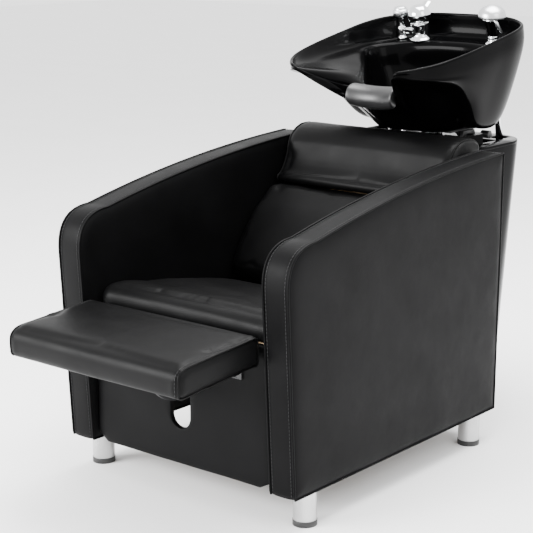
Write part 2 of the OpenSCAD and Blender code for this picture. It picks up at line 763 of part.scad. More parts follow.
module quadrant() {
    inner = quadrant_r - quadrant_hw;
    outer = quadrant_r + quadrant_hw;
    end = quadrant_end - rest_tilt;
    legrest_frame() color(black_steel) {
        along_x(quadrant_x[0], quadrant_x[1]) difference() {
            intersection() {
                difference() {
                    circle(r = outer);
                    circle(r = inner);
                }
                polygon([[0, 0], for (a = [180, 215, 250, end]) 150 * [cos(a), sin(a)]]);
            }
            for (a = [end - 6:-8:200]) translate(inner * [cos(a), sin(a)]) circle(r = 3);
        }
        block(quadrant_x, [-outer, -inner], [-0.5, board_low - 3]);
        block([2, 32], [-150, -80], [board_low - 4, board_low]);
    }
}

// ---------- ratchet pawl behind the slot

pawl_y = 40;
pawl_z = 276;
pawl_pin_r = 4;

function on_quadrant(r, a) = [hinge_y + r * cos(a), hinge_z + r * sin(a)];

module pawl() {
    reach = quadrant_r - quadrant_hw - 0.6;
    chair() color(satin_steel) difference() {
        union() {
            rod([11, 27.5], pawl_y, pawl_z, 8);
            along_x(quadrant_x[0] - 0.5, quadrant_x[1] + 0.5) polygon([
                on_quadrant(reach, quadrant_end - 3), on_quadrant(reach, quadrant_end),
                [pawl_y + 6, pawl_z - 4], [pawl_y - 4, pawl_z + 7]]);
            along_x(22.5, 27) polygon([
                [pawl_y - 7, pawl_z], [pawl_y + 7, pawl_z], [pawl_y + 14, pawl_z - 46], [pawl_y + 6, pawl_z - 48]]);
        }
        rod([0, 40], pawl_y, pawl_z, pawl_pin_r + fit);
    }
}

module pawl_bracket() {
    chair() color(black_steel) {
        block([4, 36], [28, 50], [slot_z[1] - 4, slot_z[1]]);
        for (x = [[5, 9], [31, 35]]) block(x, [30, 50], [pawl_z - 9, slot_z[1]]);
        rod([4, 36], pawl_y, pawl_z, pawl_pin_r);
    }
}

module pawl_spring() {
    wire = 0.6;
    chair() color(chromed) translate([28, pawl_y, pawl_z]) {
        rotate([0, 90, 0]) ring(6 + 1.2 * wire, 6 - 1.2 * wire, 2.6);
        translate([1.3, 0, 0]) rotate([60, 0, 0]) translate([0, 6, 0]) cylinder(r = wire, h = 9, $fn = 16);
    }
}

// ---------- every piece by name

leg(leg_front_y, 1);  // leg_front_left
leg(leg_front_y, -1);  // leg_front_right
leg(leg_rear_y, 1);  // leg_rear_left
leg(leg_rear_y, -1);  // leg_rear_right
leg_feet();
leg_screws();
arm_frame(1);  // arm_frame_left
arm_frame(-1);  // arm_frame_right
arm_outer(1);  // arm_outer_left
arm_outer(-1);  // arm_outer_right
arm_inner(1);  // arm_inner_left
arm_inner(-1);  // arm_inner_right
arm_band(1);  // arm_band_left
arm_band(-1);  // arm_band_right
front_panel();
front_rail();
seat_deck();
seat_cleats();
seat_cushion();
back_rails();
back_board();
back_cushion();
back_bolster();
back_panel();
support_frame();
frame_bolts();
console_shell();
console_lid();
access_panel();
bowl_basin();
bowl_skirt();
neck_rest();
bowl_bracket();
pivot_bolts();
friction_washers();
tilt_lever();
drain_flange();
drain_gasket();
drain_nut();
drain_tailpiece();
hair_strainer();
faucet_body();
faucet_stem();
faucet_lever();
vacuum_breaker();
hot_supply();
cold_supply();
spray_socket();
spray_head();
spray_hose();
hose_guide();
legrest_pad();
legrest_board();
hinge_arms();
hinge_brackets();
hinge_rod();
quadrant();
pawl();
pawl_bracket();
pawl_spring();
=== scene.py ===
"""Looks of the salon backwash unit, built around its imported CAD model.

Lengths in the shape functions are millimetres in the chair's own coordinates, as in the CAD
source: x to the sitter's left, y from the foot of the arms' front edge to the rear, z up.
chair(), bowl() and leg_rest() turn them into the row frame, in metres.
"""

import math

import bmesh
import bpy
import numpy as np
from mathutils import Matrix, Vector, noise
from mathutils.bvhtree import BVHTree


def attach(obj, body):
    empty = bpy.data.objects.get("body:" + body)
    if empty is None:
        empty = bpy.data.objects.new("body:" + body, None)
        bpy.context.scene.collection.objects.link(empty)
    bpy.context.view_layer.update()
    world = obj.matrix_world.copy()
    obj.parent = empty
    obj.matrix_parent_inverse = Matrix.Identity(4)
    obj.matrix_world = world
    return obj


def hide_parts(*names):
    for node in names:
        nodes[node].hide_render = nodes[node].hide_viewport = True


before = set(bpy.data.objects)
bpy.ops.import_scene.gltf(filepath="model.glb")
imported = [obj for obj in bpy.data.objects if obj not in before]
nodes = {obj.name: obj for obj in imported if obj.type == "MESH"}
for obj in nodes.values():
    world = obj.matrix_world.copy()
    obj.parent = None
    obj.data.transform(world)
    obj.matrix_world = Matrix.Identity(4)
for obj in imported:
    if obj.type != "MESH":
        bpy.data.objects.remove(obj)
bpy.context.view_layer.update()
scene = bpy.context.scene

# ---------- sizes shared with the CAD source, in mm

MID_Y = 439.753                      # chair depth at the row frame's origin
HALF_W, ARM_IN = 325, 249            # outer and inner faces of the arms
COVER = 8                            # padded cover on each face of an arm
ARM_D, ARM_H, BODY_Z = 762, 686, 77
TIP_Y, TIP_Z = 569, 873              # front tips of the bowl
RIM_TILT = math.radians(10.7)
HINGE_Y, HINGE_Z = -8, 334           # hinge of the leg rest
REST_TILT = math.radians(3.7)
TAP_V, DECK_W = 466, -56             # row of fittings on the bowl's rear deck
SPRAY_X, FAUCET_X, BREAKER_X = 117, -97, -153


def chair(p):
    """Chair coordinates in mm, one point or an array of them, to the row frame in metres."""
    return (np.asarray(p, float) - (0, MID_Y, 0)) / 1000


def turned(p, angle, y, z):
    """A frame's own coordinates, turned about X and moved to (y, z) of the chair."""
    p = np.asarray(p, float)
    c, s = math.cos(angle), math.sin(angle)
    return np.stack([p[..., 0], y + p[..., 1] * c - p[..., 2] * s,
                     z + p[..., 1] * s + p[..., 2] * c], -1)


def bowl(p):
    return chair(turned(p, RIM_TILT, TIP_Y, TIP_Z))


def leg_rest(p):
    return chair(turned(p, REST_TILT, HINGE_Y, HINGE_Z))


# ---------- materials

class Shader:
    """A node material on one Principled shader, textured in the object's own coordinates."""

    def __init__(self, name, colour, **sockets):
        self.material = bpy.data.materials.new(name)
        self.material.use_nodes = True
        self.tree = self.material.node_tree
        self.surface = self.tree.nodes["Principled BSDF"]
        self.surface.inputs["Base Color"].default_value = (*colour, 1)
        for socket, value in sockets.items():
            self.surface.inputs[socket.replace("_", " ")].default_value = value
        self.place = self.node("ShaderNodeTexCoord").outputs["Object"]
        self.height = None

    def node(self, kind, **settings):
        made = self.tree.nodes.new(kind)
        for key, value in settings.items():
            setattr(made, key, value)
        return made

    def stretched(self, scale):
        mapping = self.node("ShaderNodeMapping")
        mapping.inputs["Scale"].default_value = scale
        self.tree.links.new(self.place, mapping.inputs["Vector"])
        return mapping.outputs["Vector"]

    def noise(self, scale, detail=3, roughness=0.5, stretch=None):
        made = self.node("ShaderNodeTexNoise")
        made.inputs["Scale"].default_value = scale
        made.inputs["Detail"].default_value = detail
        made.inputs["Roughness"].default_value = roughness
        place = self.stretched(stretch) if stretch else self.place
        self.tree.links.new(place, made.inputs["Vector"])
        return made.outputs["Fac"]

    def cells(self, scale, feature="F1"):
        made = self.node("ShaderNodeTexVoronoi", feature=feature)
        made.inputs["Scale"].default_value = scale
        self.tree.links.new(self.place, made.inputs["Vector"])
        return made.outputs["Distance"]

    def spread(self, value, low, high, start=0.3, end=0.7):
        """value from start to end, mapped to low..high and held beyond them."""
        made = self.node("ShaderNodeMapRange")
        for socket, number in (("From Min", start), ("From Max", end), ("To Min", low), ("To Max", high)):
            made.inputs[socket].default_value = number
        self.tree.links.new(value, made.inputs["Value"])
        return made.outputs["Result"]

    def colours(self, factor, first, second):
        made = self.node("ShaderNodeMix", data_type="RGBA")
        made.inputs["A"].default_value = (*first, 1)
        made.inputs["B"].default_value = (*second, 1)
        self.tree.links.new(factor, made.inputs["Factor"])
        return made.outputs["Result"]

    def use(self, socket, value):
        self.tree.links.new(value, self.surface.inputs[socket])

    def bump(self, value, distance, strength=1.0):
        """Adds one layer of relief, of the given depth in metres."""
        made = self.node("ShaderNodeBump")
        made.inputs["Strength"].default_value = strength
        made.inputs["Distance"].default_value = distance
        self.tree.links.new(value, made.inputs["Height"])
        if self.height:
            self.tree.links.new(self.height, made.inputs["Normal"])
        self.height = made.outputs["Normal"]
        self.use("Normal", self.height)

    def worn(self):
        """From 0 on flat and hollow places to 1 on sharp outer edges."""
        made = self.node("ShaderNodeNewGeometry")
        return self.spread(made.outputs["Pointiness"], 0, 1, 0.515, 0.6)


def vinyl_shader(name, dark, light, low, high, sheen, grain=1.0):
    """Black upholstery vinyl: pebble grain and soft unevenness."""
    made = Shader(name, dark, Specular_IOR_Level=sheen)
    made.use("Base Color", made.colours(made.spread(made.noise(9, 4), 0, 1), dark, light))
    made.use("Roughness", made.spread(made.noise(14, 5, 0.6), low, high))
    made.bump(made.noise(22, 2), 0.0016, 0.35)
    made.bump(made.cells(850), 0.00016 * grain, 0.8)
    made.bump(made.noise(2600, 2), 0.00005 * grain, 0.6)
    return made


def gloss_shader(name, colour, low, high, wave):
    """Moulded gloss plastic: slow waves of the mould, faint haze and wiping marks."""
    made = Shader(name, colour, Specular_IOR_Level=0.02, Coat_Weight=0.035, Coat_Roughness=0.05)
    made.use("Roughness", made.spread(made.noise(7, 6, 0.65), low, high, 0.35, 0.75))
    made.bump(made.noise(16, 1), wave, 0.5)
    made.bump(made.noise(900, 1), 0.00001, 0.5)
    return made


def metal_shader(name, colour, low, high, brushed=None):
    """Metal with smudges, and brushing lines where brushed gives their stretch."""
    made = Shader(name, colour, Metallic=1.0)
    made.use("Roughness", made.spread(made.noise(30, 5, 0.6), low, high))
    tarnish = [0.8 * c for c in colour]
    made.use("Base Color", made.colours(made.spread(made.noise(12, 4), 0, 1, 0.4, 0.8), colour, tarnish))
    if brushed:
        made.bump(made.noise(1, 3, 0.6, brushed), 0.00006, 0.6)
    else:
        made.bump(made.noise(60, 1), 0.00002, 0.4)
    return made


def plastic_shader(name, dark, light, low, high, relief):
    """Moulded black plastic or powder-coated steel with a fine texture."""
    made = Shader(name, dark)
    made.use("Base Color", made.colours(made.spread(made.noise(25, 4), 0, 1), dark, light))
    made.use("Roughness", made.spread(made.noise(40, 4), low, high))
    made.bump(made.noise(1500, 2), relief, 0.7)
    return made


vinyl = vinyl_shader("vinyl", (0.0018, 0.0018, 0.0019), (0.0030, 0.0030, 0.0032), 0.42, 0.52, 0.05)
seat_vinyl = vinyl_shader("seat_vinyl", (0.0014, 0.0014, 0.0015), (0.0024, 0.0024, 0.0025), 0.38, 0.48, 0.07)
bowl_gloss = gloss_shader("bowl_gloss", (0.0008, 0.0008, 0.0009), 0.16, 0.24, 0.0004)
console_gloss = gloss_shader("console_gloss", (0.0018, 0.0018, 0.002), 0.10, 0.18, 0.0008)
gel = plastic_shader("neck_gel", (0.006, 0.006, 0.0063), (0.010, 0.010, 0.0105), 0.34, 0.44, 0.00005)
chrome = metal_shader("chrome", (0.82, 0.83, 0.84), 0.05, 0.13)
spray_metal = metal_shader("chromed_plastic", (0.62, 0.63, 0.64), 0.26, 0.38)
dark_chrome = metal_shader("dark_chrome", (0.10, 0.095, 0.10), 0.08, 0.16)
steel = metal_shader("satin_steel", (0.60, 0.60, 0.60), 0.26, 0.38, (500, 500, 9))
black_steel = plastic_shader("black_steel", (0.012, 0.012, 0.013), (0.020, 0.020, 0.021), 0.42, 0.55, 0.00012)
black_plastic = plastic_shader("black_plastic", (0.008, 0.008, 0.008), (0.013, 0.013, 0.013), 0.35, 0.50, 0.00008)
thread = plastic_shader("thread", (0.007, 0.007, 0.0075), (0.013, 0.013, 0.014), 0.6, 0.75, 0.0001)

timber = Shader("timber", (0.45, 0.30, 0.17), Roughness=0.7)
timber_rings = timber.noise(3, 5, 0.6, (14, 2, 14))
timber.use("Base Color", timber.colours(timber.spread(timber_rings, 0, 1), (0.36, 0.23, 0.12), (0.55, 0.39, 0.23)))
timber.bump(timber_rings, 0.0004, 0.5)

SHADERS = {
    "vinyl": vinyl, "vinyl_cushion": seat_vinyl, "bowl_gloss": bowl_gloss,
    "console_gloss": console_gloss, "neck_gel": gel, "chrome": chrome,
    "chromed_plastic": spray_metal, "satin_steel": steel, "black_steel": black_steel,
    "timber": timber, "black_plastic": black_plastic,
}


def finish_cad_nodes():
    """Procedural materials, crisp rounded edges and smooth shading for the CAD nodes."""
    for name, obj in nodes.items():
        slot_name = obj.material_slots[0].material.name.split(".")[0]
        obj.material_slots[0].material = SHADERS.get(slot_name, black_plastic).material
        weld = obj.modifiers.new("weld", "WELD")
        weld.merge_threshold = 0.000002
        bevel = obj.modifiers.new("edges", "BEVEL")
        bevel.width = 0.0006
        bevel.segments = 2
        bevel.limit_method = "ANGLE"
        bevel.angle_limit = math.radians(38)
        bevel.harden_normals = True
        obj.data.polygons.foreach_set("use_smooth", [True] * len(obj.data.polygons))


finish_cad_nodes()


# ---------- shapes

def bezier(a, b, c, n):
    t = np.linspace(0, 1, n + 1)[:, None]
    return np.array(a) * (1 - t) ** 2 + 2 * np.array(b) * t * (1 - t) + np.array(c) * t ** 2


def spaced(points, gap, closed=False):
    """The polyline again, with points about gap apart."""
    p = np.asarray(points, float)
    if closed:
        p = np.vstack([p, p[:1]])
    along = np.concatenate([[0], np.cumsum(np.linalg.norm(np.diff(p, axis=0), axis=1))])
    count = max(2, round(along[-1] / gap))
    at = np.linspace(0, along[-1], count + 1)
    if closed:
        at = at[:-1]
    return np.stack([np.interp(at, along, p[:, i]) for i in range(p.shape[1])], 1)


def curve_through(points, steps, closed=False):
    """Catmull-Rom curve through the points, steps to each stretch."""
    p = np.asarray(points, float)
    if closed:
        a, b, c, d = np.roll(p, 1, 0), p, np.roll(p, -1, 0), np.roll(p, -2, 0)
    else:
        padded = np.concatenate([p[:1], p, p[-1:]])
        a, b, c, d = padded[:-3], padded[1:-2], padded[2:-1], padded[3:]
    out = []
    for i in range(len(b)):
        for j in range(steps):
            t = j / steps
            out.append(0.5 * (2 * b[i] + (c[i] - a[i]) * t + (2 * a[i] - 5 * b[i] + 4 * c[i] - d[i]) * t * t
                              + (3 * b[i] - a[i] - 3 * c[i] + d[i]) * t ** 3))
    if not closed:
        out.append(p[-1])
    return np.array(out)


def loft(rings, ring_closed=True, stack_closed=False, caps=()):
    """Vertices and faces through rings of equal counts; caps names the ends to fill, 0 and -1."""
    rings = np.asarray(rings, float)
    n, m = rings.shape[:2]
    faces = []
    for i in range(n if stack_closed else n - 1):
        for k in range(m if ring_closed else m - 1):
            i2, k2 = (i + 1) % n, (k + 1) % m
            faces.append((i * m + k, i * m + k2, i2 * m + k2, i2 * m + k))
    if 0 in caps:
        faces.append(tuple(range(m)))
    if -1 in caps:
        faces.append(tuple((n - 1) * m + k for k in reversed(range(m))))
    return rings.reshape(-1, 3), faces


def join(parts):
    """Several (vertices, faces) as one."""
    verts, faces, start = [], [], 0
    for v, f in parts:
        verts.append(np.asarray(v, float))
        faces += [tuple(start + i for i in face) for face in f]
        start += len(v)
    return np.vstack(verts), faces


def build(name, shape, shader, body, replaces=(), subdivide=0):
    """A smooth mesh piece from (vertices in row-frame metres, faces)."""
    verts, faces = shape
    mesh = bpy.data.meshes.new(name)
    mesh.from_pydata([tuple(v) for v in verts], [], faces)
    work = bmesh.new()
    work.from_mesh(mesh)
    bmesh.ops.recalc_face_normals(work, faces=work.faces)
    work.to_mesh(mesh)
    work.free()
    mesh.polygons.foreach_set("use_smooth", [True] * len(mesh.polygons))
    mesh.materials.append(shader.material)
    obj = bpy.data.objects.new(name, mesh)
    scene.collection.objects.link(obj)
    if subdivide:
        modifier = obj.modifiers.new("smooth", "SUBSURF")
        modifier.levels = modifier.render_levels = subdivide
    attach(obj, body)
    if replaces:
        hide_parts(*replaces)
    return obj


def frames(points, closed):
    """Unit tangents and two unit normals along a path, carried without twist."""
    p = np.asarray(points, float)
    if closed:
        tangent = np.roll(p, -1, 0) - np.roll(p, 1, 0)
    else:
        tangent = np.gradient(p, axis=0)
    tangent /= np.maximum(np.linalg.norm(tangent, axis=1, keepdims=True), 1e-12)
    side = np.zeros_like(p)
    start = np.eye(3)[np.argmin(np.abs(tangent[0]))]
    for i, t in enumerate(tangent):
        start = start - t * (start @ t)
        start = start / np.linalg.norm(start)
        side[i] = start
    return tangent, side, np.cross(tangent, side)


def tube(points, radius, sides=8, closed=False):
    """A round tube along a path; radius is one number or one for each point."""
    p = np.asarray(points, float)
    _, side, up = frames(p, closed)
    r = np.broadcast_to(np.asarray(radius, float), (len(p),))[:, None, None]
    turn = np.linspace(0, 2 * math.pi, sides, endpoint=False)[None, :, None]
    rings = p[:, None, :] + r * (np.cos(turn) * side[:, None, :] + np.sin(turn) * up[:, None, :])
    return loft(rings, stack_closed=closed, caps=() if closed else (0, -1))


def stitches(points, closed=False, length=0.0050, gap=0.0028, radius=0.00055):
    """A row of separate thread stitches lying along a path."""
    p = spaced(points, (length + gap) / 4, closed)
    count = len(p) // 4
    parts = []
    for i in range(count):
        run = p[4 * i:4 * i + 4]
        if len(run) < 4:
            continue
        parts.append(tube(run, radius * np.array([0.45, 1, 1, 0.45]), 5))
    return join(parts)


def lathe(profile, sides=48):
    """Rings about Z of a profile of (radius, height), in the profile's units."""
    profile = np.asarray(profile, float)
    turn = np.linspace(0, 2 * math.pi, sides, endpoint=False)
    rings = [np.stack([r * np.cos(turn), r * np.sin(turn), np.full(sides, z)], 1) for r, z in profile]
    return loft(rings, caps=(0, -1))


# where the three parts of a ripple are read; noise_vector() differs from run to run, noise() doesn't
RIPPLE_AT = [Vector(at) for at in ((9.3, -1.5, -8.0), (0, 0, 0), (-3.3, -2.3, 4.6))]


def ripple(verts, size, depth, seed=0.0):
    """Slow unevenness of padded covers: moves points by a smooth noise field, in metres."""
    moved = np.array(verts, float)
    for i, p in enumerate(moved):
        place = Vector(p / size + seed)
        moved[i] += depth * np.array([noise.noise(place + at) for at in RIPPLE_AT])
    return moved


def distance_to(points, outline):
    """Distance of 2D points from a closed 2D outline."""
    a, b = outline, np.roll(outline, -1, 0)
    ab = b - a
    best = np.full(len(points), 1e9)
    for start, step in zip(a, ab):
        t = np.clip(((points - start) @ step) / max(step @ step, 1e-9), 0, 1)
        best = np.minimum(best, np.linalg.norm(points - start - t[:, None] * step, axis=1))
    return best


def inset(outline, by):
    """A 2D outline drawn in by a distance, for an anticlockwise loop."""
    along = np.roll(outline, -1, 0) - np.roll(outline, 1, 0)
    along /= np.maximum(np.linalg.norm(along, axis=1, keepdims=True), 1e-9)
    return outline + by * np.stack([-along[:, 1], along[:, 0]], 1)


# ---------- arms

def arm_outline():
    """Side view of an arm, anticlockwise as [y, z], from the rear foot forward and up."""
    crown = bezier([74, 598], [400, 671], [ARM_D, ARM_H], 30)
    front = bezier([-24, 500], [-30, 594], [64, 596], 20)
    loop = np.vstack([[[ARM_D, BODY_Z], [0, BODY_Z]], front, crown])
    return spaced(loop, 8, closed=True)[::-1]


def padded_face(outline, x_seam, out, swell, edge=11.0):
    """A padded panel inside an outline: rounded from the seam, then nearly flat. out is +1 or -1."""
    middle = outline.mean(0)
    rings, flat = [], []
    for share in (0, 0.006, 0.014, 0.026, 0.042, 0.065, 0.1, 0.16, 0.25, 0.37, 0.5, 0.65, 0.8, 0.93):
        loop = outline + (middle - outline) * share
        flat.append(loop)
    for loop in flat:
        depth = distance_to(loop, outline)
        rise = swell * (1 - np.exp(-depth / edge)) + 2.2 * (1 - np.exp(-depth / 90))
        rings.append(np.stack([x_seam + out * rise, loop[:, 0], loop[:, 1]], 1))
    return loft(rings, caps=(-1,))


def make_arm(side, word):
    outline = arm_outline()
    seam_out, seam_in = HALF_W - 7.0, ARM_IN + 7.0
    drawn = inset(outline, 1.2)
    outer = padded_face(drawn, seam_out, 1, 5.4)
    inner = padded_face(drawn, seam_in, -1, 5.4)
    across = np.linspace(0, 1, 13)
    rings = []
    for t in across:
        crown = 2.6 * (1 - abs(2 * t - 1) ** 3.2) - 1.2
        loop = inset(outline, -crown)
        rings.append(np.stack([np.full(len(loop), seam_in + (seam_out - seam_in) * t), loop[:, 0], loop[:, 1]], 1))
    band = loft(rings)

    def placed(shape, wrinkle=0.0, seed=0.0):
        verts = chair(shape[0] * (side, 1, 1))
        return (ripple(verts, 0.11, wrinkle, seed) if wrinkle else verts), shape[1]

    build(f"arm_panel_outer_{word}", placed(outer, 0.0009, side), vinyl, "chair",
          [f"arm_outer_{word}", f"arm_frame_{word}"])
    build(f"arm_panel_inner_{word}", placed(inner, 0.0009, 5 + side), vinyl, "chair",
          [f"arm_inner_{word}"])
    build(f"arm_band_cover_{word}", placed(band, 0.0006, 9 + side), vinyl, "chair",
          [f"arm_band_{word}"])

    welts, rows = [], []
    for x, inward in ((seam_out + 0.6, -1), (seam_in - 0.6, 1)):
        path = np.stack([np.full(len(outline), x), outline[:, 0], outline[:, 1]], 1)
        welts.append(tube(path, 2.3, 8, closed=True))
        above = inset(outline, -1.35)
        row = np.stack([np.full(len(above), x + inward * 7.5), above[:, 0], above[:, 1]], 1)
        row = row[row[:, 2] > BODY_Z + 4]
        first = np.argmax(np.linalg.norm(np.diff(row, axis=0), axis=1)) + 1
        rows.append(np.roll(row, -first, 0))
    build(f"arm_welts_{word}", placed(join(welts)), vinyl, "chair")
    build(f"arm_stitching_{word}",
          join([stitches(chair(r * (side, 1, 1))) for r in rows]), thread, "chair")


# ---------- front panel

def make_front_panel():
    """The vinyl panel under the seat, with the slot's turned edge, and the fold along its sides."""
    x_end, front, z_low, z_top, depth = ARM_IN - 1, 10, BODY_Z, 380, 12
    slot_half, slot_low, slot_top = 28, 157, 290
    turn = np.linspace(math.pi, 2 * math.pi, 25)
    hole = np.stack([slot_half * np.cos(turn), slot_low + slot_half + slot_half * np.sin(turn)], 1)
    hole = np.vstack([[[-slot_half, slot_top]], hole, [[slot_half, slot_top]], [[0, slot_top]]])
    hole = spaced(hole, 4, closed=True)
    centre = np.array([0, 215.0])
    frame_loop = []
    for p in hole:
        d = p - centre
        scale = min((x_end / abs(d[0])) if abs(d[0]) > 1e-6 else 1e9,
                    ((z_top - centre[1]) if d[1] > 0 else (centre[1] - z_low)) / max(abs(d[1]), 1e-6))
        frame_loop.append(centre + d * scale)
    frame_loop = np.array(frame_loop)
    rings = []
    for back, grow in ((depth, 0.0), (depth * 0.5, 0.0), (3.0, 0.0), (0.9, 0.6), (0.0, 2.6)):
        loop = hole + (hole - centre) / np.linalg.norm(hole - centre, axis=1, keepdims=True) * grow
        rings.append(np.stack([loop[:, 0], np.full(len(loop), front + back), loop[:, 1]], 1))
    last = rings[-1][:, [0, 2]]
    for share in (0.06, 0.14, 0.25, 0.4, 0.55, 0.7, 0.82, 0.91, 0.97, 1.0):
        loop = last + (frame_loop - last) * share
        near = np.minimum(x_end - np.abs(loop[:, 0]), np.minimum(loop[:, 1] - z_low, z_top - loop[:, 1]))
        sink = 3.0 * np.exp(-np.maximum(near, 0) / 6)
        rings.append(np.stack([loop[:, 0], front + sink, loop[:, 1]], 1))
    rings.append(rings[-1] + (0, depth, 0))
    verts, faces = loft(rings)
    build("front_panel_cover", (ripple(chair(verts), 0.09, 0.0007, 3.0), faces), vinyl, "chair",
          ["front_panel"])


# ---------- cushions

def side_profile(points, gap=9):
    return spaced(points, gap, closed=True)


def bolster_shape(profile, half, round_over=16.0, steps=7):
    """A closed side view drawn out along x, with its ends rounded over."""
    rings = []
    stations = []
    for i in range(steps):
        a = math.pi / 2 * i / (steps - 1)
        stations.append((half - round_over * (1 - math.sin(a)), round_over * (1 - math.cos(a))))
    ends = [(x, draw) for x, draw in stations]
    xs = [(-x, draw) for x, draw in reversed(ends)]
    inner = np.linspace(-(half - round_over), half - round_over, 40)[1:-1]
    xs += [(x, 0.0) for x in inner]
    xs += ends
    area = np.sum(profile[:, 0] * np.roll(profile[:, 1], -1) - np.roll(profile[:, 0], -1) * profile[:, 1])
    way = 1 if area > 0 else -1
    for x, draw in xs:
        loop = inset(profile, way * draw)
        rings.append(np.stack([np.full(len(loop), x), loop[:, 0], loop[:, 1]], 1))
    return loft(rings, caps=(0, -1))


def normals_of(mesh):
    n = np.zeros(len(mesh.vertices) * 3)
    mesh.vertices.foreach_get("normal", n)
    return n.reshape(-1, 3)


def coords_of(mesh):
    co = np.zeros(len(mesh.vertices) * 3)
    mesh.vertices.foreach_get("co", co)
    return co.reshape(-1, 3)


def stuffed(name, shape, cap, held, voxel=0.0065, pressure=4.0, frames_run=20):
    """A closed form swollen by pressure as cloth, no point further than cap; held() keeps it off its neighbours."""
    mesh = bpy.data.meshes.new(name)
    mesh.from_pydata([tuple(v) for v in shape[0]], [], shape[1])
    work = bmesh.new()
    work.from_mesh(mesh)
    bmesh.ops.recalc_face_normals(work, faces=work.faces)
    work.to_mesh(mesh)
    work.free()
    obj = bpy.data.objects.new(name, mesh)
    scene.collection.objects.link(obj)
    remesh = obj.modifiers.new("remesh", "REMESH")
    remesh.mode = "VOXEL"
    remesh.voxel_size = voxel
    bpy.context.view_layer.update()
    graph = bpy.context.evaluated_depsgraph_get()
    obj.data = bpy.data.meshes.new_from_object(obj.evaluated_get(graph))
    obj.modifiers.clear()
    rest, normal = coords_of(obj.data), normals_of(obj.data)
    shift = np.zeros_like(rest)
    cloth = obj.modifiers.new("cloth", "CLOTH")
    settings = cloth.settings
    settings.quality = 5
    settings.mass = 0.3
    settings.use_pressure = True
    settings.uniform_pressure_force = pressure
    settings.effector_weights.gravity = 0
    cloth.point_cache.frame_start = 1
    cloth.point_cache.frame_end = frames_run
    for step in range(1, frames_run + 1):
        scene.frame_set(step)
    graph = bpy.context.evaluated_depsgraph_get()
    shift = coords_of(obj.evaluated_get(graph).data) - rest
    obj.modifiers.remove(cloth)
    scene.frame_set(1)
    shift -= normal * np.minimum(np.sum(shift * normal, axis=1, keepdims=True) + 0.0012, 0)
    shift += normal * cap * 0.45
    length = np.maximum(np.linalg.norm(shift, axis=1, keepdims=True), 1e-9)
    final = held(rest + shift * np.minimum(1, cap / length))
    obj.data.vertices.foreach_set("co", final.ravel())
    obj.data.update()
    return obj


def seam(obj, path, depth, width):
    """Pulls the cover in along a seam."""
    co, normal = coords_of(obj.data), normals_of(obj.data)
    near = np.full(len(co), 1e9)
    for p in path:
        near = np.minimum(near, np.linalg.norm(co - p, axis=1))
    co = co - normal * (depth * np.exp(-(near / width) ** 2))[:, None]
    obj.data.vertices.foreach_set("co", co.ravel())
    obj.data.update()


def on_surface(obj, path, proud=0.0):
    """The path moved to the nearest points of obj's mesh, proud of it by that much."""
    tree = BVHTree.FromPolygons([tuple(c) for c in coords_of(obj.data)], [tuple(f.vertices) for f in obj.data.polygons])
    out = []
    for p in path:
        near, normal, _, _ = tree.find_nearest(Vector(p))
        out.append(np.array(near) + np.array(normal) * proud)
    return np.array(out)


def cover(obj, shader, body, replaces):
    """Finishes a stuffed piece: its vinyl, its body and what it stands for."""
    obj.data.materials.clear()
    obj.data.materials.append(shader.material)
    obj.data.polygons.foreach_set("use_smooth", [True] * len(obj.data.polygons))
    modifier = obj.modifiers.new("smooth", "SUBSURF")
    modifier.levels = modifier.render_levels = 1
    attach(obj, body)
    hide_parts(*replaces)


SEAT_SLOPE = math.tan(math.radians(9.4))


def deck_z(y):
    return 382 - (y - 24) * SEAT_SLOPE


def make_seat():
    profile = [[466, deck_z(466) + 1], [26, deck_z(26) + 1]]
    profile += list(bezier([22, deck_z(22) + 10], [18, deck_z(30) + 50], [62, deck_z(62) + 50], 10))
    profile += list(bezier([90, deck_z(90) + 50], [300, deck_z(300) + 60], [458, deck_z(458) + 42], 14))
    profile = side_profile(profile)[::-1]
    verts, faces = bolster_shape(profile, 240, 14)

    def held(p):
        y = p[:, 1] * 1000 + MID_Y
        p[:, 0] = np.clip(p[:, 0], -0.2475, 0.2475)
        p[:, 2] = np.maximum(p[:, 2], (382.3 - (y - 24) * SEAT_SLOPE) / 1000)
        p[:, 1] = np.clip(p[:, 1], (12 - MID_Y) / 1000, (478 - MID_Y) / 1000)
        return p

    seat = stuffed("seat_pad", (chair(verts), faces), 0.013, held)
    x = np.linspace(-236, 236, 60)
    sag = np.stack([x, 150 + 12 * np.cos(x / 75), np.full(60, deck_z(150) + 62)], 1)
    seam(seat, on_surface(seat, chair(sag)), 0.0035, 0.030)
    cover(seat, seat_vinyl, "chair", ["seat_cushion"])


